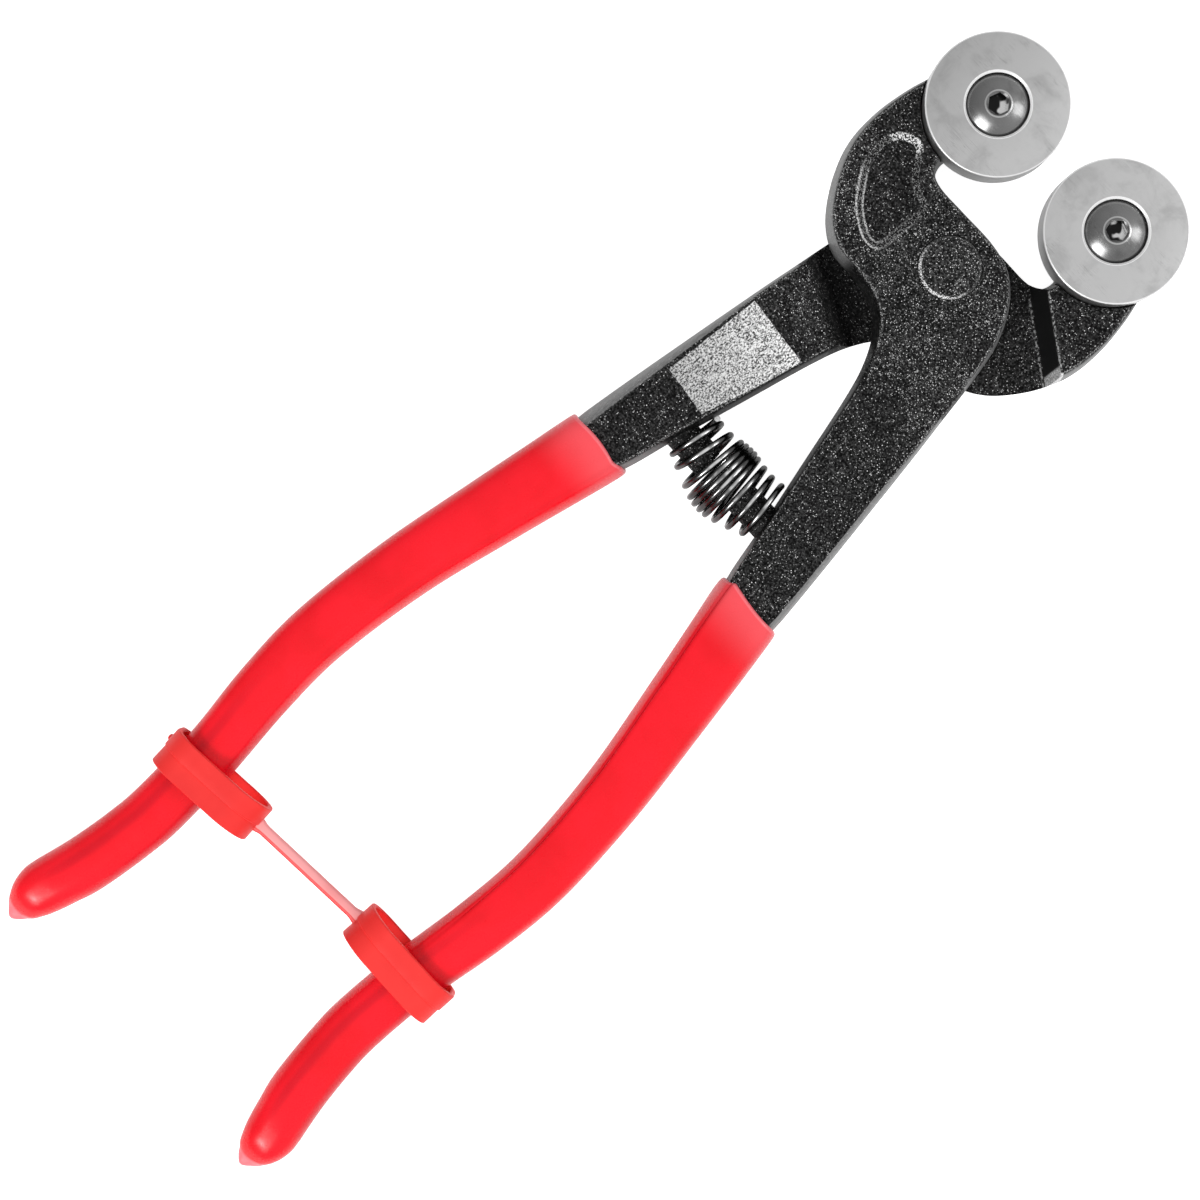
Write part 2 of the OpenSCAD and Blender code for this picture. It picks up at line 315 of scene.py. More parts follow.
def inside_outline(b, place, corners, edge):
    """1 inside a flat straight-sided outline, 0 outside; corners run anticlockwise seen from the front."""
    x, y, _ = b.parts(place)
    least = None
    for (x0, y0), (x1, y1) in zip(corners, corners[1:] + corners[:1]):
        length = math.hypot(x1 - x0, y1 - y0)
        nx, ny = -(y1 - y0) / length, (x1 - x0) / length
        side = b.plus(b.times(x, nx), b.fit(y, ny, -(nx * x0 + ny * y0)))
        least = side if least is None else b.sum("MINIMUM", least, side)
    return b.ramp(least, -edge, edge)


# Unit direction square to the jaw's milled step, for the back arm; the front arm's is its mirror image.
STEP_WAY = (0.56, 0.83)
# Each edge of the step that gets a painted highlight line: its distance past the pivot, and its width.
STEP_EDGES = ((14.2, 0.26), (12.05, 0.22))
PATCH_CORNERS = [(-16.35, -24.85), (-17.65, -41.35), (-9.35, -42.35), (-4.35, -26.05)]
COAT_DULLNESS = 0.06
NOT_IN_POCKET = -9.0


def forged_walls(b, reach, y, steep):
    """How far the surface lies on the arm's outer side, and how far it is a face and not a side wall. Side
    walls not counted outer are painted near-black as shade in the finish.
    """
    outer = b.ramp(b.minus(reach, b.fit(y, -0.16, 9.5)), -1.5, 1.5)
    # On the outer side of the handles the bare draft face runs right up to the flat.
    bare_draft = b.times(outer, b.ramp(y, -20.0, -32.0))
    face = b.ramp(steep, b.fit(bare_draft, 0.60, 0.30), b.fit(bare_draft, 0.355, 0.62))
    # The jaws count as outer, and the inner walls below the spring partly so, which lifts the painted shade
    # there.
    outer = b.larger(outer, b.ramp(y, -6.0, -2.0))
    return b.larger(outer, b.ramp(y, -48.0, -54.0, 0.0, 0.75)), face


def pocket_depth(b, z, back_arm):
    """Distance in from the pocket's rim on the face that holds the pocket."""
    on_face = b.ramp(z, 1.5, 1.1) if back_arm else b.ramp(z, 10.4, 10.8)
    return b.mix_number(on_face, NOT_IN_POCKET, b.marked("pocket_depth"))


def pocket_painted_light(b, depth, reach, y, fine, coated):
    """Painted light in the pocket: a trough inside the rim painted dark as shade, painted highlight lines on
    the rim and the foot on the side toward the light, and a speckled painted highlight on the far rim.
    """
    # The side of the pocket that faces the light, which gets the painted highlight lines.
    toward_handle = b.minus(b.fit(reach, 0.107, -0.115), b.times(y, 0.994))
    leftward = b.minus(b.fit(reach, 0.682, -9.13), b.times(y, 0.731))
    lit_side = b.larger(b.times(b.ramp(toward_handle, -0.3, 3.0), b.ramp(leftward, 0.3, 2.6)),
                         b.ramp(toward_handle, -1.0, 1.5, 0.0, 0.16))
    lip = b.near(depth, -0.02, 0.24, 0.08)
    foot = b.times(b.near(depth, 1.0, 0.24, 0.08), 0.85)
    far_rim = b.times(b.ramp(y, 6.6, 7.4), b.ramp(reach, 15.4, 16.4), b.near(depth, 0.5, 0.62, 0.40))
    broken = b.ramp(fine, 0.36, 0.60, 0.12, 1.0)
    # Painted shade in the trough inside the rim.
    coated = b.mix(b.times(b.near(depth, 0.5, 0.5, 0.3), 0.75), coated, tone(0.003))
    # Painted highlight lines on the rim and the foot.
    coated = b.mix(b.times(b.larger(lip, foot), lit_side, broken), coated, tone(0.62))
    # Speckled painted highlight on the far rim.
    return b.mix(b.times(far_rim, b.ramp(fine, 0.44, 0.56)), coated, tone(1.0))


def painted_glint_share(b, y, z, depth, past_lap, back_arm):
    """Share of painted glint grains: most on the boss, fewer on the lap, the pocket's floor and sheltered
    faces, which are painted as lying in shade.
    """
    boss = b.times(b.ramp(y, -26.0, -14.0), b.ramp(y, 12.0, 2.0))
    if back_arm:
        lap = b.flip(b.near(z, MID_Z, 5.4, 5.8))
        sheltered = b.ramp(past_lap, 6.0, 1.0)
    else:
        lap = b.times(b.ramp(z, 11.65, 11.3), b.ramp(y, -11.0, -8.0))
        sheltered = b.ramp(z, 6.6, 6.3)
    floor = b.ramp(depth, 0.6, 1.4)
    return b.times(b.fit(boss, 0.34, 0.36), b.fit(lap, -0.25, 1.0), b.fit(floor, -0.4, 1.0),
                   b.fit(sheltered, -0.22, 1.0))


def step_edge_highlights(b, place, past, back_arm, colour):
    """Broken painted highlight lines along both edges of the milled step."""
    x, _, z = b.parts(place)
    marks = b.ramp(b.noise(place, 2.6, 2.0), 0.42, 0.62)
    shown = b.times(b.ramp(b.size(x), 11.0, 12.0), b.ramp(z, 5.0, 5.5)) if back_arm else b.ramp(z, 6.8, 6.3)
    for edge, width in STEP_EDGES:
        line = b.near(past, edge, width, width * 0.3)
        colour = b.mix(b.times(line, marks, b.times(shown, 0.6)), colour, tone(0.45))
    return colour


def bare_patch(b, place, up, colour, metal, height):
    """The bare patch on the left handle: embossed wrinkles whose relief is painted in light and shade, with a
    painted sheen brighter toward the boss.
    """
    x, y, _ = b.parts(place)
    wander = b.move("SCALE", b.add("ShaderNodeTexNoise", {"Vector": place, "Scale": 1.2}, out=1), scale=0.3)
    inside = inside_outline(b, b.move("ADD", place, wander), PATCH_CORNERS, 0.06)
    patch = b.times(inside, b.ramp(up, 0.7, 0.9))
    wrinkles = b.noise(b.stretch(place, (1.0, 0.7, 1.0), 0.5), 4.4, 2.0, 0.55, 0.6)
    # Painted sheen brighter toward the boss, and painted light and shade on the wrinkles' relief.
    sheen = b.ramp(b.plus(y, b.times(x, 0.5)), -50.0, -30.0, smooth=False)
    painted_emboss_light = b.mix(b.ramp(wrinkles, 0.36, 0.60), tone(0.05), b.mix(sheen, tone(0.62), tone(1.0)))
    raised = b.fit(b.near(wrinkles, 0.5, 0.12, 0.0), 0.6, b.times(wrinkles, 1.4))
    metal = b.larger(metal, b.times(patch, 0.25))
    return b.mix(patch, colour, painted_emboss_light), metal, b.mix_number(patch, height, raised)


def forging_finish(name, back_arm):
    """Wrinkle-coated faces with painted glints, greyer outer side walls, inner side walls painted near-black
    as shade, and a smooth milled step painted near-black as shade with painted highlight lines on its edges.
    """
    finish, b, shader, place, up = start_finish(name)
    x, y, z = b.parts(place)
    reach, steep = b.size(x), b.size(up)
    hand = 1 if back_arm else -1
    outer, face = forged_walls(b, reach, y, steep)
    # 0 where the forged curve leaves the lap, rising toward the handle.
    past_lap = b.minus(b.times(x, -0.399 * hand), b.fit(y, 0.917, 16.74))
    off_curve = b.flip(b.near(past_lap, 1.9, 3.0, 2.5))
    # Distance past the pivot toward the wheel, square to the step.
    past = b.plus(b.times(x, STEP_WAY[0] * hand), b.times(y, STEP_WAY[1]))
    below_lap = b.ramp(z, 5.1, 5.5) if back_arm else b.ramp(z, 6.9, 6.5)
    step = b.times(b.near(past, 13.2, 1.35, 1.2), below_lap, b.flip(b.ramp(steep, 0.75, 0.95)))
    depth = pocket_depth(b, z, back_arm)
    fine = b.noise(place, 4.2, 1.0)
    sparkle = painted_glint_share(b, y, z, depth, past_lap, back_arm)
    coat = use(b, COAT, {"Place": place, "Grain": 4.9, "Sparkle": sparkle, "Deep tone": tone(0.0012),
                         "Worn tone": tone(0.078), "Painted glint tone": tone(1.0)})
    streak = b.noise(b.stretch(place, (2.4, 0.35, 0.5)), 3.4, 3.0, 0.6, 0.3)
    steel = b.mix(b.ramp(streak, 0.25, 0.75), tone(0.24), tone(0.42))
    # Inner side walls painted near-black as shade between the handles; the outer walls are bare ground steel.
    inside = b.mix(b.ramp(streak, 0.40, 0.75), tone(0.003), tone(0.016))
    wall_tone = b.mix(0.35, b.mix(outer, inside, steel), coat["Colour"])
    coated = pocket_painted_light(b, depth, reach, y, fine, coat["Colour"])
    # Painted highlight, speckled, along the rounded edges of the faces.
    rounded_edge_highlight = b.times(b.ramp(steep, 0.5, 0.7), b.ramp(steep, 0.985, 0.93), off_curve)
    coated = b.mix(b.times(rounded_edge_highlight, b.ramp(fine, 0.48, 0.66, 0.0, 0.5)), coated, tone(0.55))
    if back_arm:
        # Painted shadow on the back arm beside the front arm's edge.
        shade = b.times(b.ramp(past_lap, 5.5, 0.5, 0.0, 0.6), b.ramp(past_lap, -6.0, -2.0))
        coated = b.mix(shade, coated, tone(0.002))
    bare = b.times(b.flip(face), off_curve)
    # The milled step's slope painted near-black as shade.
    colour = b.mix(step, b.mix(bare, coated, wall_tone), tone(0.007))
    colour = step_edge_highlights(b, place, past, back_arm, colour)
    metal = b.times(bare, b.flip(step), 0.35)
    rough = b.mix_number(bare, coat["Roughness"], b.fit(streak, 0.25, 0.28))
    height = b.mix_number(b.larger(bare, step), coat["Height"], b.times(streak, 0.12))
    if back_arm:
        colour, metal, height = bare_patch(b, place, up, colour, metal, height)
        # The step breaks out at the jaw's outer edge in a bare steel tip, painted bright as a highlight.
        tip = b.times(b.ramp(x, 22.0, 22.5), step)
        colour = b.mix(tip, colour, b.mix(b.ramp(fine, 0.4, 0.6), tone(0.4), tone(0.9)))
        metal = b.larger(metal, b.times(tip, 0.6))
    settle(b, shader, colour, rough, height, 0.06, metal, COAT_DULLNESS)
    return finish


def wheel_finish():
    """Ground carbide, painted darker toward the left as shade, with a painted highlight round the stepped
    hole and on the outer edge, and the hole's floor painted near-black as shade.
    """
    finish, b, shader, place, up = start_finish("Ground wheel carbide")
    steel = use(b, STEEL, {"Place": place, "Tone": tone(0.70), "Smudge tone": tone(0.50), "Gloss": 0.36,
                           "Scratches": 0.9})
    x, _, z = b.parts(place)
    from_axis = b.off_axis(place, WHEEL_X, WHEEL_Y)
    # Painted highlight on the outer edge and round the chamfer of the stepped hole.
    rim = b.times(b.ramp(from_axis, 10.76, 10.84), 0.7)
    top = b.ramp(z, WHEEL_TOP - 0.5, WHEEL_TOP - 0.35)
    painted_edge_glint = b.times(b.larger(b.near(from_axis, 5.0, 0.26, 0.17), rim), top)
    # The floor of the stepped hole round the screw, painted near-black as shade.
    painted_recess_shade = b.times(b.ramp(from_axis, 4.84, 4.78), b.ramp(up, 0.2, 0.5))
    # Painted shade: darker toward the left.
    side = b.ramp(x, -23.0, -6.0, 0.82, 1.0, smooth=False)
    grey = b.add("ShaderNodeCombineColor", {0: side, 1: side, 2: side})
    colour = b.mix(1.0, steel["Colour"], grey, "MULTIPLY")
    colour = b.mix(painted_recess_shade, b.mix(painted_edge_glint, colour, tone(0.98)), tone(0.03))
    rough = b.minus(steel["Roughness"], b.times(painted_edge_glint, 0.06))
    settle(b, shader, colour, rough, steel["Height"], 0.006, b.fit(painted_edge_glint, -0.75, 1.0))
    return finish


def socket_shade_and_glints(b, place, colour):
    """A hex socket painted dark as shade, with a few painted glints, and a painted highlight ring round its
    mouth.
    """
    from_axis = b.off_axis(place, WHEEL_X, WHEEL_Y)
    # Painted shade inside the socket, broken by painted glints.
    deep_in = b.times(b.ramp(from_axis, 1.78, 1.70), b.ramp(b.parts(place)[2], 16.05, 15.75))
    glint = b.ramp(b.noise(place, 0.62, 1.0), 0.50, 0.62)
    colour = b.mix(deep_in, colour, b.mix(glint, tone(0.02), tone(0.8)))
    # Painted highlight ring round the socket's mouth.
    return b.mix(b.times(b.near(from_axis, 2.02, 0.16, 0.08), 0.7), colour, tone(0.7))


def dark_steel_finish(name, deep, bright, gloss, socket=False, top_highlight=None):
    """Oiled black oxide, with upper sides painted bright as a highlight if a highlight tone is given."""
    finish, b, shader, place, up = start_finish(name)
    steel = use(b, STEEL, {"Place": place, "Tone": tone(bright), "Smudge tone": tone(deep), "Gloss": gloss,
                           "Scratches": 0.7})
    colour = socket_shade_and_glints(b, place, steel["Colour"]) if socket else steel["Colour"]
    if top_highlight:
        # Painted highlight on the upward-facing sides, in patches.
        patchy = b.ramp(b.noise(place, 0.55, 1.0), 0.36, 0.62, 0.25, 1.0)
        colour = b.mix(b.times(b.ramp(up, 0.84, 0.97), patchy), colour, tone(top_highlight))
    settle(b, shader, colour, steel["Roughness"], steel["Height"], 0.006, 1.0)
    return finish


def coated_finish(name, deep, worn, painted_glint, sparkle, rim=False):
    """The same coat on a small piece. rim adds a painted highlight on the rivet head's rim, strongest toward
    the handles.
    """
    finish, b, shader, place, up = start_finish(name)
    coat = use(b, COAT, {"Place": place, "Grain": 4.6, "Sparkle": sparkle, "Deep tone": tone(deep),
                         "Worn tone": tone(worn), "Painted glint tone": tone(painted_glint)})
    colour = coat["Colour"]
    if rim:
        x, y, _ = b.parts(place)
        # Painted highlight: a speckled bright line round the rivet head's rim, strongest on the side toward
        # the light.
        band = b.near(b.off_axis(place, 0.0, 0.0), 4.62, 0.30, 0.12)
        lit_side = b.ramp(b.minus(b.times(x, -0.1), y), 0.0, 3.6, 0.07, 1.0)
        patchy = b.ramp(b.noise(place, 4.4, 2.0), 0.42, 0.60)
        colour = b.mix(b.times(band, lit_side, patchy), colour, tone(0.9))
    settle(b, shader, colour, coat["Roughness"], coat["Height"], 0.06, 0.0, COAT_DULLNESS)
    return finish


PLASTIC_SHINE = 0.30
THIN_RED = (0.92, 0.22, 0.25, 1)
# Darker reds painted as shade: the lengthwise bands low on the grips, and the fold's crease.
SHADE_BAND_RED = (0.50, 0.001, 0.012, 1)
FOLD_SHADE_RED = (0.42, 0.0, 0.008, 1)
TIE_EDGE_RED = (0.78, 0.05, 0.05, 1)


def grip_marks(b, place, shade):
    """Paler skin where it thins at the lip and the drip tail, a painted sheen below the lip, darker bands low
    down painted as shade, and the fold painted dark as shade.
    """
    _, y, _ = b.parts(place)
    from_lip = b.marked("from_lip")
    # The lip is paler where the skin thins, with a painted highlight; the wider ramp to 9 mm below it is a
    # painted sheen.
    lip = b.larger(b.ramp(from_lip, 0.55, 0.15, 0.0, 0.75), b.ramp(from_lip, 9.0, 0.4, 0.0, 0.34))
    tail = b.times(b.ramp(b.off_axis(place, 25.6, -165.6), 4.5, 5.1), b.ramp(y, -166.5, -168.5))
    shade = b.mix(b.times(tail, 0.9), b.mix(lip, shade, THIN_RED), THIN_RED)
    across = b.marked("across")
    # Painted shade: darker lengthwise bands on the lower part of the grips.
    band = b.larger(b.near(across, -0.32, 0.26, 0.04), b.ramp(across, 0.60, 0.85, 0.0, 0.8))
    low_part = b.times(b.ramp(y, -112.0, -135.0), b.ramp(y, -167.0, -158.0))
    shade = b.mix(b.times(band, low_part, 0.5), shade, SHADE_BAND_RED)
    # The fold's crease painted dark as shade.
    return b.mix(b.times(b.marked("fold_shade"), 0.6), shade, FOLD_SHADE_RED)


def tie_edge(b, place, shade):
    return b.mix(b.ramp(b.marked("across"), -0.30, -0.44), shade, TIE_EDGE_RED)


def red_finish(name, colour, deep, gloss, pits, depth, marks=None):
    finish, b, shader, place, up = start_finish(name)
    skin = use(b, SKIN, {"Place": place, "Tone": colour + (1,), "Deep tone": deep + (1,), "Gloss": gloss,
                         "Pits": pits})
    shade = marks(b, place, skin["Colour"]) if marks else skin["Colour"]
    settle(b, shader, shade, skin["Roughness"], skin["Height"], depth, 0.0, PLASTIC_SHINE)
    return finish


FRONT_FORGING = forging_finish("Front arm coat", False)
BACK_FORGING = forging_finish("Back arm coat", True)
RIVET_COAT = coated_finish("Rivet coat", 0.0024, 0.115, 1.0, 0.7, rim=True)
PEG_COAT = coated_finish("Peg coat", 0.002, 0.07, 0.9, 0.4)
CARBIDE = wheel_finish()
SCREW_BLACK = dark_steel_finish("Black screw", 0.10, 0.25, 0.24, socket=True)
SPRING_BLACK = dark_steel_finish("Spring wire", 0.04, 0.10, 0.17, top_highlight=0.95)
GRIP_RED = red_finish("Dipped red vinyl", (0.90, 0.006, 0.018), (0.80, 0.004, 0.012), 0.22, 0.07, 0.05,
                      grip_marks)
STRAP_RED = red_finish("Strap plastic", (0.86, 0.034, 0.030), (0.78, 0.026, 0.024), 0.36, 0.3, 0.04)
TIE_RED = red_finish("Tie plastic", (0.86, 0.36, 0.36), (0.80, 0.27, 0.27), 0.32, 0.2, 0.03, tie_edge)


# ---- mesh helpers

def curve(points, steps):
    """A smooth curve through rows of numbers. steps is one count, or one for each stretch."""
    p = np.asarray(points, float)
    last = len(p) - 1
    counts = [steps] * last if isinstance(steps, int) else steps
    rows = []
    for i, count in enumerate(counts):
        a, b, c, d = p[max(i - 1, 0)], p[i], p[i + 1], p[min(i + 2, last)]
        for t in np.arange(count) / count:
            rows.append(0.5 * (2 * b + (c - a) * t + (2 * a - 5 * b + 4 * c - d) * t * t
                               + (3 * b - a - 3 * c + d) * t ** 3))
    rows.append(p[last])
    return np.array(rows)


def ease(value, low, high):
    t = np.clip((np.asarray(value, float) - low) / (high - low), 0, 1)
    return t * t * (3 - 2 * t)


def outline_depth(points, outline):
    """Signed distance to a closed flat outline: positive inside."""
    p = np.asarray(points, float)[:, None, :]
    a = np.asarray(outline, float)[None]
    b = np.roll(a, -1, axis=1)
    along = b - a
    t = np.clip(((p - a) * along).sum(-1) / np.maximum((along ** 2).sum(-1), 1e-12), 0, 1)
    far = np.linalg.norm(p - (a + t[..., None] * along), axis=-1).min(1)
    crosses = (a[..., 1] > p[..., 1]) != (b[..., 1] > p[..., 1])
    rise = np.where(along[..., 1] == 0, 1e-12, along[..., 1])
    where = a[..., 0] + (p[..., 1] - a[..., 1]) / rise * along[..., 0]
    inside = (crosses & (p[..., 0] < where)).sum(1) % 2 == 1
    return np.where(inside, far, -far)


def new_object(name, points, edges=(), faces=()):
    """An object from points in millimetres."""
    mesh = bpy.data.meshes.new(name)
    mesh.from_pydata((np.asarray(points, float) * MM).tolist(), edges, faces)
    mesh.update()
    piece = bpy.data.objects.new(name, mesh)
    scene.collection.objects.link(piece)
    return piece


def dress(piece, finish, sharp):
    """One finish all over, smooth but for the edges that turn by more than an angle in degrees."""
    mesh = piece.data
    mesh.materials.clear()
    mesh.materials.append(finish)
    mesh.polygons.foreach_set("material_index", [0] * len(mesh.polygons))
    mesh.polygons.foreach_set("use_smooth", [True] * len(mesh.polygons))
    mesh.set_sharp_from_angle(angle=math.radians(sharp))


def fix_normals(piece):
    """Turns the faces outward on a closed piece."""
    work = bmesh.new()
    work.from_mesh(piece.data)
    bmesh.ops.recalc_face_normals(work, faces=work.faces)
    work.to_mesh(piece.data)
    work.free()


def add_piece(name, points, faces, finish, sharp):
    piece = new_object(name, points, faces=faces)
    dress(piece, finish, sharp)
    fix_normals(piece)
    return piece


def mark(piece, name, values):
    """Keeps one number for each point, which the finish reads."""
    layer = piece.data.attributes.new(name, "FLOAT", "POINT")
    layer.data.foreach_set("value", np.asarray(values, np.float32))


def mesh_points(piece):
    """The points of a piece in millimetres."""
    flat = np.empty(len(piece.data.vertices) * 3)
    piece.data.vertices.foreach_get("co", flat)
    return flat.reshape(-1, 3) / MM


def skin_faces(rows, ring, loop=False, caps=True):
    faces = []
    for k in range(rows if loop else rows - 1):
        n = (k + 1) % rows
        for i in range(ring):
            j = (i + 1) % ring
            faces.append((k * ring + i, k * ring + j, n * ring + j, n * ring + i))
    if caps and not loop:
        faces.append(tuple(range(ring - 1, -1, -1)))
        faces.append(tuple(range((rows - 1) * ring, rows * ring)))
    return faces


def settle_mesh(piece):
    """Bakes the modifiers into a plain mesh and removes them."""
    view = bpy.context.evaluated_depsgraph_get()
    mesh = bpy.data.meshes.new_from_object(piece.evaluated_get(view))
    piece.modifiers.clear()
    piece.data = mesh
    return piece


def cut(piece, *cutters):
    for cutter in cutters:
        step = piece.modifiers.new("cut", "BOOLEAN")
        step.operation, step.solver, step.object = "DIFFERENCE", "EXACT", cutter
        bpy.context.view_layer.update()
        settle_mesh(piece)
        bpy.data.objects.remove(cutter)
    return piece


def loft(levels):
    """A cutter through (height, outline) levels from the lowest up, anticlockwise from above."""
    points = [(x, y, z) for z, outline in levels for x, y in outline]
    return new_object("cutter", points, faces=skin_faces(len(levels), len(levels[0][1])))


def prism(outline, z_low, z_high, top_outline=None):
    return loft([(z_low, outline), (z_high, top_outline or outline)])


def round_outline(x, y, radius, count, turn=0.0):
    return [(x + radius * math.cos(turn + 2 * math.pi * i / count),
             y + radius * math.sin(turn + 2 * math.pi * i / count)) for i in range(count)]


def turn_over(points):
    """The same forging turned over: the second arm."""
    p = np.array(points, float)
    p[:, 0] *= -1
    p[:, 2] = HEAD_T - p[:, 2]
    return p


# ---- the forged arm

# Rungs across the forging, front arm as seen from the front: outer jaw, boss and inner handle edge, then
# inner jaw, throat and outer handle edge.
HEAD_RUNGS = [
    [-15.8, 29.1, -11.4, 29.3], [-21.2, 23.9, -6.0, 25.6], [-23.7, 17.2, -5.7, 18.2],
    [-24.7, 12.6, -9.2, 14.3], [-25.1, 8.6, -12.2, 11.6], [-24.9, 4.2, -11.9, 8.9],
    [-23.9, 0.4, -9.6, 7.9], [-21.6, -4.1, -4.6, 7.85], [-18.1, -8.4, 1.8, 7.8],
    [-14.0, -10.8, 6.7, 6.6], [-9.4, -11.1, 10.6, 3.3], [-4.8, -11.9, 13.4, -1.6],
    [-1.2, -14.2, 14.9, -7.4], [1.6, -18.6, 16.3, -15.8], [3.6, -24.4, 17.6, -23.8],
    [6.5, -36.0, 19.4, -36.0], [9.1, -46.5, 20.9, -46.5], [11.0, -55.0, 22.0, -55.0]]

# Outside of a grip from its top to its tip: distance below the pivot, inner edge, outer edge, half thickness.
GRIP_RUNGS = [
    [57, 10.9, 22.9, 5.6], [60, 11.4, 23.5, 5.7], [76, 15.1, 26.2, 5.5], [92, 18.5, 28.7, 5.3],
    [108, 20.3, 30.0, 5.1], [120, 19.9, 29.3, 4.9], [132, 18.6, 27.6, 4.7], [144, 17.9, 26.9, 4.7],
    [150, 18.2, 27.2, 4.7], [156, 18.9, 28.0, 4.8], [160, 19.6, 28.8, 4.9], [163, 20.5, 29.5, 4.9],
    [165, 21.1, 29.8, 4.7], [167, 21.8, 29.6, 4.3], [168.5, 22.5, 29.1, 3.5], [169.6, 23.1, 28.5, 2.5],
    [170.4, 23.8, 28.0, 1.6], [171.1, 24.3, 27.3, 1.2], [171.7, 24.9, 26.7, 0.9],
    [172.1, 25.4, 26.2, 0.5]]

SKIN_T = 1.05
POCKET = [
    (-20.6, 7.8), (-20, 8.6), (-18.5, 9.5), (-17, 9.8), (-15.5, 9), (-14.5, 7.5), (-13, 5.6), (-11, 4.6),
    (-9.2, 4), (-8.6, 2.5), (-8.7, 0), (-8.9, -3), (-9, -4.8), (-9.8, -6.2), (-11.5, -6.6), (-13, -6.2),
    (-15.5, -4.8), (-17.5, -3), (-19, -1), (-20.2, 0.7), (-21, 3), (-21.2, 5.5)]

# Side of the forging from the parting line up to the face: share of the inset, share of the height.
WALL = [(0.0, 0.0), (0.10, 0.25), (0.22, 0.5), (0.34, 0.70), (0.44, 0.83), (0.56, 0.91), (0.70, 0.960),
        (0.84, 0.988), (1.0, 1.0)]


POCKET_LINE = curve(POCKET + POCKET[:1], 6)[:-1]


# Inset of the face from the parting line at each side, first the front's, then the back's: at these places
# along the arm, by this much. It never takes more than a share of the width.
INSETS = [((-57, -20, 0), (0.8, 0.9, 1.3)), ((-57, -20, 0), (1.3, 1.2, 1.3)),
          ((-57, -25, 0), (1.25, 0.9, 1.2)), ((-57, -25, -8), (2.6, 1.0, 1.2))]
INSET_SHARE = 0.3
JAW_END_DROP = {0: 1.0, 1: 0.25, 2: 0.05}
FRONT_COLUMNS, BACK_COLUMNS = 80, 26
POCKET_DEPTH = 0.85
HANDLE_HALF = 4.7


def arm_rows():
    """Closely spaced rungs all down the arm, each with its half thickness, which falls below the boss."""
    fall = [min(1.0, max(0.0, (-12 - (r[1] + r[3]) / 2) / 43)) for r in HEAD_RUNGS]
    rungs = [r + [MID_Z + (HANDLE_HALF - MID_Z) * f] for r, f in zip(HEAD_RUNGS, fall)]
    rungs += [[inner + SKIN_T, -below, outer - SKIN_T, -below, half - SKIN_T]
              for below, inner, outer, half in GRIP_RUNGS if 58 < below < 166]
    steps = [10, 10, 12, 14, 14, 16, 16, 16, 16, 16, 14, 12, 12, 10, 12, 10, 8] + [3] * (len(rungs) - 18)
    return curve(rungs, steps)


def edge_inward(points, side):
    along = np.gradient(points, axis=0)
    along /= np.linalg.norm(along, axis=1)[:, None]
    return side * np.stack([-along[:, 1], along[:, 0]], 1)


def wall_points(edge, inward, inset, rise, drop):
    """One side wall, from the parting line to the face."""
    return [np.append(edge + inward * (inset * d + drop), MID_Z + rise * f) for d, f in WALL]


def between(start, end, count):
    """A straight row of points without its two ends."""
    return list(start + (end - start) * np.linspace(0, 1, count)[1:-1, None])


def arm_blank():
    """The forging before machining, front face up."""
    rows = arm_rows()
    a, b, half = rows[:, 0:2], rows[:, 2:4], rows[:, 4]
    in_a, in_b = edge_inward(a, 1), edge_inward(b, -1)
    widest = np.linalg.norm(b - a, axis=1) * INSET_SHARE
    y = (a[:, 1] + b[:, 1]) / 2
    inset = [np.minimum(np.interp(y, places, sizes), widest) for places, sizes in INSETS]
    rings = []
    for k in range(len(rows)):
        drop = JAW_END_DROP.get(k, 0.0)
        h = half[k] - drop
        front_a = wall_points(a[k], in_a[k], inset[0][k], h, drop)
        front_b = wall_points(b[k], in_b[k], inset[1][k], h, drop)
        back_a = wall_points(a[k], in_a[k], inset[2][k], -h, drop)
        back_b = wall_points(b[k], in_b[k], inset[3][k], -h, drop)
        front = between(front_a[-1], front_b[-1], FRONT_COLUMNS)
        back = between(back_b[-1], back_a[-1], BACK_COLUMNS)
        rings.append(np.array(front_a + front + front_b[::-1] + back_b[1:] + back + back_a[:0:-1]))
    points = np.concatenate(rings)
    on_face = points[:, 2] > MID_Z + 0.9 * (HEAD_T - MID_Z)
    near = on_face & (np.abs(points[:, 0] + 15) < 8) & (np.abs(points[:, 1] - 1.5) < 11)
    points[near, 2] -= POCKET_DEPTH * ease(outline_depth(points[near, :2], POCKET_LINE), -0.05, 1.0)
    return points, skin_faces(len(rows), len(rings[0]))


LAP_Z = MID_Z + 0.1
LAP_RUN, LAP_RISE, LAP_LEVELS = 4.2, 6.2, 17
CUTTER_FOOT = 8.1


def lap_outline(drop, run):
    """Room for the other arm's boss: the jaw side leans out with depth, the handle side runs out by run."""
    lean = 0.28 * drop
    jaw = [(x - 0.56 * lean, y + 0.83 * lean) for x, y in ((-30.0, -5.35), (-11.4, 7.19), (-9.0, 8.8))]
    corners = ((26, -8.2), (15.3, -11.6), (1.5, -17.6), (-4.5, -20.4), (-30, -20.4))
    handle = [(x + 0.3 * run, y - 0.95 * run) for x, y in corners]
    return (jaw + [(-5.5, 12.0), (26.0, 12.0)] + handle)[::-1]


def step_cutter():
    """The lap: a milled step on the jaw, and a forged curve up to the handle."""
    levels = [(LAP_Z - CUTTER_FOOT, lap_outline(CUTTER_FOOT, LAP_RUN))]
    for t in np.linspace(1, 0, LAP_LEVELS):
        drop = LAP_RISE * float(ease(t, 0, 1))
        levels.append((LAP_Z - drop, lap_outline(drop, LAP_RUN * t)))
    return loft(levels)


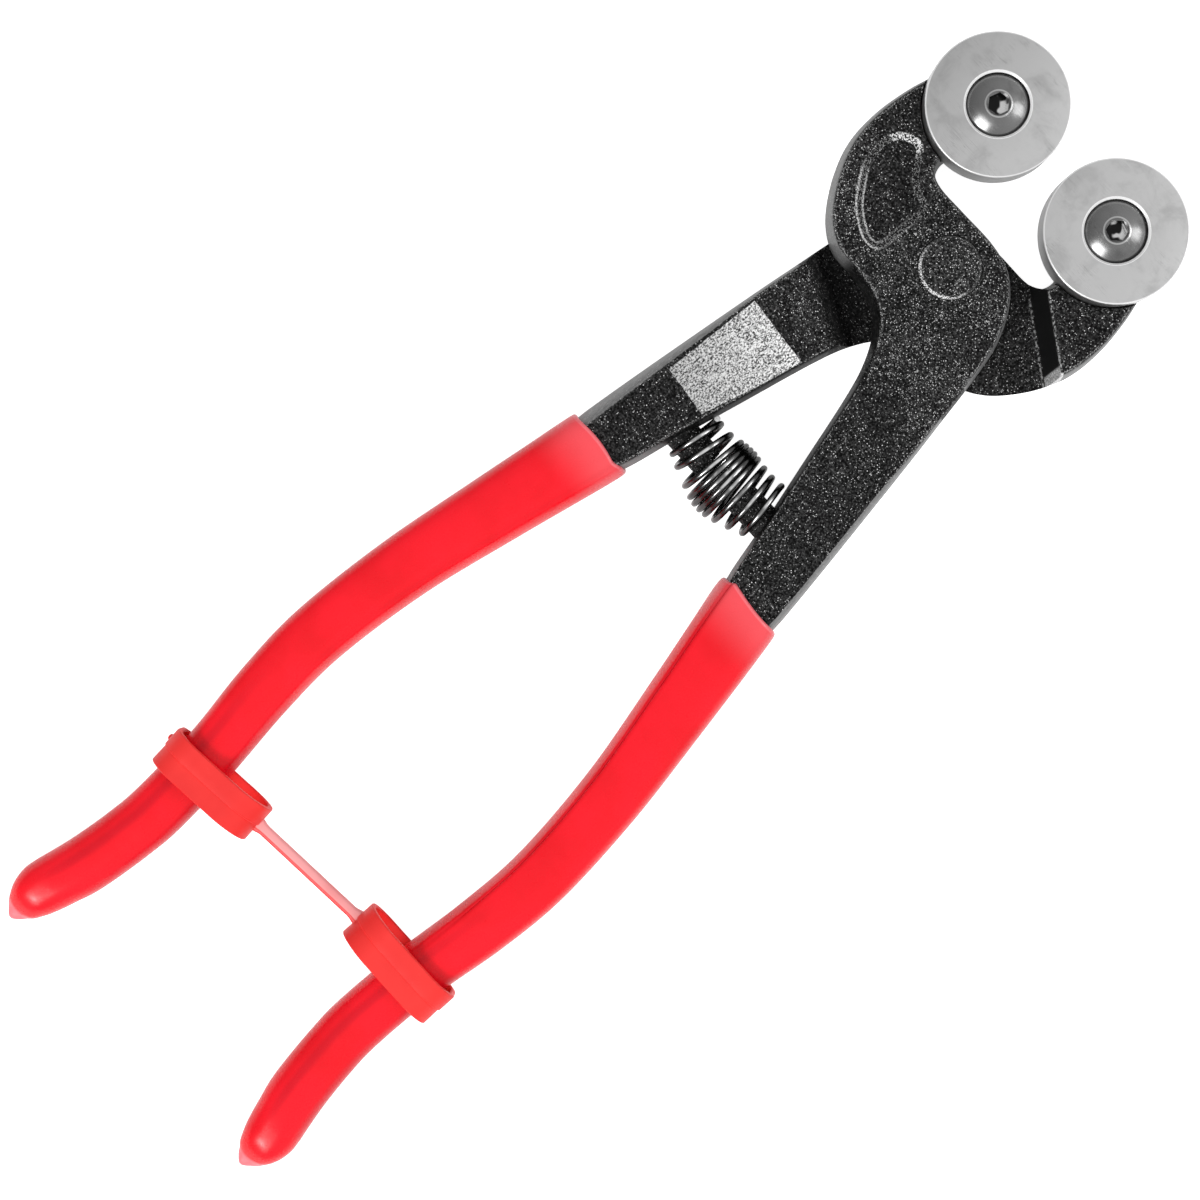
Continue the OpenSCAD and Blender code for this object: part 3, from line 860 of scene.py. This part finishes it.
def make_arm(name, over, finish):
    points, faces = arm_blank()
    arm = new_object(name, points, faces=faces)
    cut(arm, step_cutter())
    if over:
        arm.data.vertices.foreach_set("co", (turn_over(mesh_points(arm)) * MM).ravel())
        arm.data.update()
    s = 1 if over else -1
    seat = round_outline(s * WHEEL_X, WHEEL_Y, 11.3, 96)
    hole = round_outline(s * WHEEL_X, WHEEL_Y, 2.55, 40)
    cut(arm, prism(seat, 9.4, 20), prism(hole, -2, 20))
    if not over:
        cut(arm, prism(round_outline(0, 0, 4.98, 64), HEAD_T - 0.5, 20))
    dress(arm, finish, 30.0)
    flat = mesh_points(arm)[:, :2] * (-s, 1)
    depth = np.full(len(flat), NOT_IN_POCKET)
    near = (np.abs(flat[:, 0] + 15) < 9) & (np.abs(flat[:, 1] - 1.5) < 12)
    depth[near] = outline_depth(flat[near], POCKET_LINE)
    mark(arm, "pocket_depth", depth)
    return arm


front_arm = make_arm("front_arm_forging", False, FRONT_FORGING)
back_arm = make_arm("back_arm_forging", True, BACK_FORGING)


# ---- turned parts, by Geometry Nodes

SHAPE, WHOLE, LOOK = "NodeSocketGeometry", "NodeSocketInt", "NodeSocketMaterial"


def finish_tree(b, shape, entry, leave):
    real = b.add("GeometryNodeRealizeInstances", {"Geometry": shape})
    b.give(leave, Geometry=b.add("GeometryNodeSetMaterial", {"Geometry": real, "Material": entry["Finish"]}))


def turned_part_tree():
    """Turns a line of section points (radius in X, height in Z) about the Z axis."""
    group, b, entry, leave = new_group(
        "Turned part", "GeometryNodeTree", [("Section", SHAPE, None), ("Segments", WHOLE, 96),
                                            ("Centre", VECTOR, (0.0, 0.0, 0.0)), ("Finish", LOOK, None)],
        [("Geometry", SHAPE, None)])
    section, segments = entry["Section"], entry["Segments"]
    count = b.add("GeometryNodeAttributeDomainSize", {0: section})
    grid = b.add("GeometryNodeMeshGrid", {"Size X": 1.0, "Size Y": 1.0, "Vertices X": count,
                                          "Vertices Y": b.plus(segments, 1.0)})
    place = b.add("GeometryNodeInputPosition")
    x, y, _ = b.parts(place)
    along = b.sum("ROUND", b.times(b.plus(x, 0.5), b.minus(count, 1.0)))
    angle = b.times(b.plus(y, 0.5), 2 * math.pi)
    drawn = b.add("GeometryNodeSampleIndex", {"Geometry": section, "Value": place, "Index": along},
                  data_type="FLOAT_VECTOR")
    radius, _, height = b.parts(drawn)
    spun = b.add("ShaderNodeCombineXYZ", {0: b.times(radius, b.sum("COSINE", angle)),
                                          1: b.times(radius, b.sum("SINE", angle)), 2: height})
    position = b.move("ADD", spun, entry["Centre"])
    shaped = b.add("GeometryNodeSetPosition", {"Geometry": grid, "Position": position})
    finish_tree(b, b.add("GeometryNodeMergeByDistance", {"Geometry": shaped, "Distance": 2e-7}), entry, leave)
    return group


def run_tree(piece, tree, values):
    """Runs a node tree on the piece with its named inputs, and leaves a plain mesh."""
    step = piece.modifiers.new("shape", "NODES")
    step.node_group = tree
    names = {item.name: item.identifier for item in tree.interface.items_tree if item.in_out == "INPUT"}
    for label, value in values.items():
        step[names[label]] = value
    bpy.context.view_layer.update()
    return settle_mesh(piece)


TURNED = turned_part_tree()


def turned_part(name, section, centre, finish, segments=96, sharp=32.0):
    line = [(i, i + 1) for i in range(len(section) - 1)]
    piece = new_object(name, [(radius, 0, height) for radius, height in section], line)
    run_tree(piece, TURNED, {"Segments": segments, "Centre": [c * MM for c in centre], "Finish": finish})
    fix_normals(piece)
    dress(piece, finish, sharp)
    return piece


def arc(cx, cz, radius, start, end, count):
    turns = [math.radians(start + (end - start) * i / count) for i in range(count + 1)]
    return [(cx + radius * math.cos(a), cz + radius * math.sin(a)) for a in turns]


WHEEL_STEP = 1.9
SCREW_HEAD = 2.75


def wheel_section():
    """A disc with soft outer edges and a chamfered, stepped hole; heights from its back face."""
    t, soft, radius = WHEEL_T, 0.2, 11
    back = arc(radius - soft, soft, soft, -90, 0, 5)
    return ([(2.55, 0)] + back + arc(radius - soft, t - soft, soft, 0, 90, 5)
            + [(5.15, t), (4.85, t - 0.3), (4.85, t - WHEEL_STEP), (2.55, t - WHEEL_STEP), (2.55, 0)])


def screw_section():
    """From the shank's end up to the pole of the domed head; heights from the floor of the stepped hole."""
    dome = 5.2 + SCREW_HEAD
    edge = math.degrees(math.asin(4.7 / dome))
    shank = [(0, -12.9), (2.0, -12.9), (2.5, -12.4), (2.5, 0)]
    side = [(4.5, 0.0), (4.74, 0.12), (4.78, 0.5), (4.76, 1.05)]
    return shank + side + arc(0, -5.2, dome, 90 - edge, 90, 22)[1:-1] + [(0, SCREW_HEAD)]


def rivet_section():
    top = HEAD_T + 0.6
    back = [(0, 0.02), (4.6, 0.02), (4.84, 0.3), (4.84, 2.0), (3.0, 2.0)]
    shank = [(3.0, 11.5), (4.7, 11.5), (4.84, 11.6)]
    rim = [(4.84, HEAD_T + 0.02), (4.76, HEAD_T + 0.2), (4.55, HEAD_T + 0.34)]
    crown = [(4.1 - 0.41 * i, top - 0.22 * (1 - i / 10) ** 2) for i in range(10)]
    return back + shank + rim + crown + [(0, top)]


WHEEL_FOOT = WHEEL_TOP - WHEEL_T
left_wheel = turned_part("left_wheel_disc", wheel_section(), (-WHEEL_X, WHEEL_Y, WHEEL_FOOT), CARBIDE, 160)
right_wheel = turned_part("right_wheel_disc", wheel_section(), (WHEEL_X, WHEEL_Y, WHEEL_FOOT), CARBIDE, 160)
rivet = turned_part("pivot_rivet_head", rivet_section(), (0, 0, 0), RIVET_COAT, 72, 40.0)

SCREW_FLOOR = WHEEL_TOP - WHEEL_STEP + 0.03


def make_screw(name, x, turn):
    screw = turned_part(name, screw_section(), (x, WHEEL_Y, SCREW_FLOOR), SCREW_BLACK, 96)
    top = SCREW_FLOOR + SCREW_HEAD
    hexagon = round_outline(x, WHEEL_Y, 1.5 / math.cos(math.pi / 6), 6, turn)
    lead = round_outline(x, WHEEL_Y, 1.55, 48)
    wide = round_outline(x, WHEEL_Y, 2.15, 48)
    cut(screw, prism(lead, top - 0.45, top + 0.05, wide), prism(hexagon, top - 1.9, top + 3))
    dress(screw, SCREW_BLACK, 30.0)
    return screw


left_screw = make_screw("left_wheel_screw_black", -WHEEL_X, 0.2)
right_screw = make_screw("right_wheel_screw_black", WHEEL_X, 0.75)


# ---- return spring, by Geometry Nodes

def float_curve(b, value, points):
    node = b.add("ShaderNodeFloatCurve", {"Value": value}, whole=True)
    line = node.mapping.curves[0]
    line.points[0].location, line.points[1].location = points[0], points[-1]
    for place in points[1:-1]:
        line.points.new(*place)
    node.mapping.update()
    return node.outputs[0]


def barrel_spring_tree():
    """A wire wound with its own pitch and swelling; t runs 0 to 1 from the left end to the right one."""
    group, b, entry, leave = new_group(
        "Barrel spring", "GeometryNodeTree",
        [("Geometry", SHAPE, None), ("Turns", FLOAT, 10.0), ("Points", WHOLE, 420),
         ("Wire thickness", FLOAT, 0.001), ("Length", FLOAT, 0.016), ("Widest", FLOAT, 0.013),
         ("Lean", FLOAT, 0.2), ("Bow", FLOAT, 0.0013), ("Centre", VECTOR, (0.0, 0.0, 0.0)),
         ("Finish", LOOK, None)],
        [("Geometry", SHAPE, None)])
    turns = [(-8.0, 9.6), (-6.9, 9.9), (-4.4, 10.9), (-2.2, 12.2), (-1.1, 12.7), (-0.05, 12.9), (0.95, 12.9),
             (2.05, 12.5), (3.9, 11.6), (5.9, 10.6), (8.0, 9.8)]
    line = b.add("GeometryNodeMeshLine", {"Count": entry["Points"]})
    t = b.sum("DIVIDE", b.add("GeometryNodeInputIndex"), b.minus(entry["Points"], 1.0))
    share = float_curve(b, t, [(i / 10, (x + 8) / 16) for i, (x, d) in enumerate(turns)])
    swell = float_curve(b, t, [(i / 10, d / 13) for i, (x, d) in enumerate(turns)])
    along = b.times(b.minus(share, 0.5), entry["Length"])
    radius = b.times(b.minus(b.times(swell, entry["Widest"]), entry["Wire thickness"]), 0.5)
    angle = b.plus(b.times(b.times(t, entry["Turns"]), 2 * math.pi), math.pi / 2)
    side = b.times(radius, b.sum("SINE", angle))
    out = b.sum("DIVIDE", along, b.times(entry["Length"], 0.5))
    lean = b.times(b.fit(out, entry["Lean"], 0.06), side)
    bow = b.times(b.times(out, out), entry["Bow"])
    wound = b.add("ShaderNodeCombineXYZ", {0: b.minus(along, lean), 1: b.plus(side, bow),
                                           2: b.times(radius, b.sum("COSINE", angle))})
    position = b.move("ADD", wound, entry["Centre"])
    shaped = b.add("GeometryNodeSetPosition", {"Geometry": line, "Position": position})
    wire = b.add("GeometryNodeMeshToCurve", {0: shaped})
    thickness = b.times(entry["Wire thickness"], 0.5)
    ring = b.add("GeometryNodeCurvePrimitiveCircle", {"Resolution": 12, "Radius": thickness})
    solid = b.add("GeometryNodeCurveToMesh", {"Curve": wire, "Profile Curve": ring, "Fill Caps": True})
    finish_tree(b, solid, entry, leave)
    return group


def make_spring():
    piece = new_object("return_spring_coil", [(0, 0, 0)])
    run_tree(piece, barrel_spring_tree(), {
        "Turns": 10.0, "Points": 420, "Wire thickness": 1.0 * MM, "Length": 16 * MM, "Widest": 13 * MM,
        "Lean": 0.2, "Bow": 1.3 * MM, "Centre": [0.0, SPRING_Y * MM, SPRING_Z * MM], "Finish": SPRING_BLACK})
    fix_normals(piece)
    dress(piece, SPRING_BLACK, 50.0)
    return piece


spring = make_spring()


def circle(count):
    """Cosines and sines once round."""
    a = np.linspace(0, 2 * np.pi, count, endpoint=False)
    return np.cos(a), np.sin(a)


def bulge(value, power):
    return np.sign(value) * np.abs(value) ** power


def make_peg(name, side):
    """Stub stud lying along X, set in the handle's inner edge."""
    c, s = circle(40)
    section = [(0.02, 3.15), (1.2, 3.15), (2.0, 3.2), (2.45, 3.4), (2.66, 3.75), (2.7, 4.2), (2.7, 9.0),
               (2.7, 12.3), (0.02, 12.3)]
    rings = [np.stack([0 * c + side * x, SPRING_Y + r * c, MID_Z + r * s], 1) for r, x in section]
    return add_piece(name, np.concatenate(rings), skin_faces(len(rings), len(c)), PEG_COAT, 40)


left_peg = make_peg("left_spring_peg_stud", -1)
right_peg = make_peg("right_spring_peg_stud", 1)


# ---- dipped grips

# Upper half of a creased grip, outer edge to inner: places across from 1 to -1, then heights.
FOLD_X = [1.0, 0.995, 0.975, 0.94, 0.885, 0.81, 0.70, 0.52, 0.30, 0.05, -0.20, -0.42, -0.60, -0.68, -0.715,
          -0.735, -0.755, -0.785, -0.83, -0.89, -0.94, -0.975, -0.995, -1.0, -1.0]
FOLD_Z = [0.0, 0.19, 0.37, 0.54, 0.69, 0.81, 0.905, 0.97, 0.995, 1.0, 0.995, 0.98, 0.955, 0.94, 0.905,
          0.855, 0.865, 0.86, 0.79, 0.64, 0.47, 0.31, 0.16, 0.05, 0.0]
# How dark the fold's painted shade is at each of its points, from the first one on.
FOLD_START, FOLD_SHADE = 14, (0.3, 1.0, 1.0, 0.4)
# Round the dipped lip: change of radius, place along the handle.
LIP = ((-0.12, 0.16), (-0.36, 0.27), (-0.62, 0.25), (-0.85, 0.1))
INSIDE = -0.98
LIP_Y = 57
CLOSED_ROWS = 30


def grip_ring(crease):
    """A whole section, between -1 and 1 both ways."""
    a = np.linspace(0, math.pi, len(FOLD_X))
    soft = np.stack([bulge(np.cos(a), 0.78), bulge(np.abs(np.sin(a)), 0.78)], 1)
    top = soft * (1 - crease) + np.stack([FOLD_X, FOLD_Z], 1) * crease
    return np.concatenate([top, top[::-1][1:-1] * (1, -1)])


def lay_ring(rung, ring, side, grow, shift):
    """One ring of the grip in its place. The grips lean slightly to the right on their way down."""
    below, inner, outer, half = rung
    x = (inner + outer) / 2 + ((outer - inner) / 2 + grow) * ring[:, 0]
    lean = 0.35 * (below - LIP_Y) / 108
    return np.stack([side * x + lean, shift - below, MID_Z + (half + grow) * ring[:, 1]], 1)


def make_grip(name, side, crease, seed):
    rungs = curve(GRIP_RUNGS, [4, 10, 10, 10, 8, 8, 8] + [4] * 11 + [3])
    sections = [grip_ring(crease * float(1 - ease(rung[0], 112, 150))) for rung in rungs]
    n, last = len(sections[0]), len(rungs)
    phase = np.random.default_rng(seed).uniform(0, 6.28, 2)
    angle = np.linspace(0, 2 * np.pi, n, endpoint=False)
    wave = 0.35 * np.sin(angle * 2 + phase[0]) + 0.18 * np.sin(angle * 5 + phase[1])
    near_lip = [float(1 - ease(rung[0], LIP_Y, 66)) for rung in rungs]
    # Tip to top on the outside, round the lip, then down inside along the steel.
    rings = [lay_ring(rungs[k], sections[k], side, 0.0, wave * near_lip[k]) for k in reversed(range(last))]
    rings += [lay_ring(rungs[0], sections[0], side, grow, wave + up) for grow, up in LIP]
    rings += [lay_ring(rungs[k], sections[k], side, INSIDE, (wave - 0.3) * near_lip[k])
              for k in range(last - CLOSED_ROWS)]
    piece = new_object(name, np.concatenate(rings), faces=skin_faces(len(rings), n))
    dress(piece, GRIP_RED, 60)
    unseen = [0.0] * (len(rings) - last)
    mark(piece, "from_lip", np.repeat([rung[0] - LIP_Y for rung in rungs[::-1]] + unseen, n))
    across = sections[::-1] + [sections[0]] * len(unseen)
    mark(piece, "across", side * np.concatenate(across)[:, 0])
    # Strength of the fold's painted shade, by point of a section and by row.
    fold_shade = np.zeros(n)
    fold_shade[FOLD_START:FOLD_START + len(FOLD_SHADE)] = FOLD_SHADE
    depth = [crease ** 3 * float(1 - ease(rung[0], 100, 140)) for rung in rungs[::-1]]
    mark(piece, "fold_shade", np.outer(depth + unseen, fold_shade).ravel())
    fix_normals(piece)
    return piece


right_grip = make_grip("right_grip_sleeve", 1, 1.0, seed=7)
left_grip = make_grip("left_grip_sleeve", -1, 0.6, seed=3)


# ---- retaining strap. Side 0 is the left ring and side 1 the right one.

RING_W, RING_D, RING_H = 18.9, 12.4, 6.3
RING_ROUND, TIE_END_ROUND = 4.2, 5.6
RING_X, RING_Y, RING_TURN = (19.2, 20.25), (135.5, 133.4), (5.0, -1.0)
TOP, LOW = RING_H / 2, -RING_H / 2
# Wall section: distance from the outer face, place along the handle. The upper half stands proud.
RING_WALL = [(-0.30, LOW), (-0.14, LOW + 0.14), (-0.18, -0.9), (-0.2, -0.06), (-0.02, 0.02), (0.0, 0.16),
             (0.0, 1.2), (0.0, TOP - 0.2), (-0.12, TOP - 0.03), (-0.3, TOP), (-0.72, TOP), (-0.9, TOP - 0.2),
             (-0.9, 0.0), (-0.9, LOW + 0.2), (-0.72, LOW)]
# The gate nub: radius, place out from the ring's end.
NUB = ((0.05, -0.3), (0.60, -0.25), (0.62, 0.0), (0.56, 0.25), (0.50, 0.42), (0.34, 0.55), (0.05, 0.6))


def oblong_path(near, count=34):
    """A ring's outer outline with its outward directions. near is the side of the tie."""
    w, d = RING_W / 2, RING_D / 2
    points, out = [], []
    for sx, sz, start in ((1, 1, 0), (-1, 1, 90), (-1, -1, 180), (1, -1, 270)):
        r = TIE_END_ROUND if sx == near else RING_ROUND
        for i in range(count):
            a = math.radians(start + 90 * i / (count - 1))
            points.append((sx * (w - r) + r * math.cos(a), sz * (d - r) + r * math.sin(a)))
            out.append((math.cos(a), math.sin(a)))
    return points, out


def sprue_nub(first):
    """The nub that the mould gate leaves on a ring's outer end."""
    c, s = circle(16)
    rings = [np.stack([0 * c + 0.1 - RING_W / 2 - out, 1.0 + r * c, r * s], 1) for r, out in NUB]
    faces = [tuple(first + i for i in face) for face in skin_faces(len(rings), len(c))]
    return np.concatenate(rings), faces


def make_ring(name, side):
    path, out = oblong_path(1 - 2 * side)
    points = []
    for (x, z), (out_x, out_z) in zip(path, out):
        bow = 0.21 * (1 - (x / (RING_W / 2)) ** 2)
        points += [(x + out_x * off, along - bow, z + out_z * off) for off, along in RING_WALL]
    faces = skin_faces(len(path), len(RING_WALL), loop=True)
    if side == 0:
        nub, nub_faces = sprue_nub(len(points))
        points = np.concatenate([points, nub])
        faces += nub_faces
    x, y, z = np.array(points).T
    turn = math.radians(RING_TURN[side])
    c, s = math.cos(turn), math.sin(turn)
    placed = np.stack([x * c - y * s, x * s + y * c, z], 1)
    placed += ((2 * side - 1) * RING_X[side], -RING_Y[side], RING_D / 2)
    return add_piece(name, placed, faces, STRAP_RED, 35)


left_ring = make_ring("left_strap_band", 0)
right_ring = make_ring("right_strap_band", 1)


def near_end(side, gap):
    """The end of a ring that faces the other one, or a point beyond it by gap."""
    s, a, d = 1 - 2 * side, math.radians(RING_TURN[side]), RING_W / 2 + gap
    return np.array([-s * RING_X[side] + s * d * math.cos(a), -RING_Y[side] + s * d * math.sin(a)])


def make_tie():
    p, q = near_end(0, -0.3), near_end(1, -0.3)
    along = (q - p) / np.linalg.norm(q - p)
    c, s = circle(20)
    u, v = 0.95 * bulge(c, 0.6), 0.75 * bulge(s, 0.6)
    rings = []
    for t in np.linspace(0, 1, 40):
        flare = 1 + 0.35 * (1 - ease(t, 0, 0.07)) + 0.35 * ease(t, 0.93, 1)
        x, y = p + (q - p) * t
        rings.append(np.stack([x - along[1] * u * flare, y + along[0] * u * flare, RING_D / 2 + v], 1))
    piece = new_object("strap_tie_strip", np.concatenate(rings), faces=skin_faces(len(rings), len(c)))
    dress(piece, TIE_RED, 50)
    mark(piece, "across", np.tile(u, len(rings)))
    fix_normals(piece)
    return piece


tie = make_tie()


# ---- floor and light

FLOOR_REACH, FLOOR_DROP = 1500.0, -0.2


def make_floor():
    far = FLOOR_REACH
    corners = [(x, y, FLOOR_DROP) for x, y in ((-far, -far), (far, -far), (far, far), (-far, far))]
    floor = new_object("floor", corners, faces=[(0, 1, 2, 3)])
    paper = bpy.data.materials.new("White paper")
    paper.use_nodes = True
    b = Bench(paper.node_tree)
    # The paper glows a little, so that it stays plain white under the object.
    paths = b.add("ShaderNodeLightPath", whole=True).outputs
    glow = b.fit(paths["Is Camera Ray"], 0.9, b.times(paths["Is Glossy Ray"], 0.25))
    b.give(paper.node_tree.nodes["Principled BSDF"].inputs, **{
        "Base Color": tone(0.8), "Roughness": 0.9, "Specular IOR Level": 0.1, "Emission Color": tone(1.0),
        "Emission Strength": glow})
    floor.data.materials.append(paper)


def light_room():
    world = bpy.data.worlds.new("studio")
    scene.world = world
    world.use_nodes = True
    world.node_tree.nodes.clear()
    b = Bench(world.node_tree)
    x, y, up = b.parts(b.add("ShaderNodeTexCoord", whole=True).outputs["Generated"])
    # The room is brighter toward the jaws' right.
    slope = b.times(b.fit(x, 0.682, b.times(y, 0.731)), 0.26)
    level = b.plus(b.ramp(up, 0.0, 0.85, 0.50, 0.62), slope)
    sky = b.add("ShaderNodeBackground", {"Color": tone(1.0), "Strength": level})
    b.feed(sky, b.add("ShaderNodeOutputWorld", whole=True).inputs["Surface"])
    softbox("key light", (0.1, -1.0, 0.85), (0, -0.07, 0), 0.7, 8.0)
    softbox("side light", (0.65, 0.70, 0.75), (0, -0.03, 0), 0.5, 3.0)
    softbox("tip light", (0.05, -0.95, 0.8), (0, -0.1, 0), 0.16, 3.0)


make_floor()
light_room()


# ---- joining the looks to the frame

RIDES = [
    (front_arm, "front_arm", "front_arm", "black_forging"),
    (back_arm, "back_arm", "back_arm", "black_forging"),
    (rivet, "back_arm", "pivot_rivet", "dark_screw"),
    (left_wheel, "left_wheel", "left_wheel", "wheel_carbide"),
    (right_wheel, "right_wheel", "right_wheel", "wheel_carbide"),
    (left_screw, "front_arm", "left_wheel_screw", "dark_screw"),
    (right_screw, "back_arm", "right_wheel_screw", "dark_screw"),
    (left_peg, "back_arm", "left_spring_peg", "black_forging"),
    (right_peg, "front_arm", "right_spring_peg", "black_forging"),
    (left_grip, "back_arm", "left_grip", "red_grip"),
    (right_grip, "front_arm", "right_grip", "red_grip"),
    (left_ring, "left_ring", "left_strap_ring", "red_strap"),
    (right_ring, "right_ring", "right_strap_ring", "red_strap")]

for piece, body, node, slot in RIDES:
    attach(piece, body)
    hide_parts(node)

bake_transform(spring)
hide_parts("return_spring")
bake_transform(tie)
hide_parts("strap_tie")
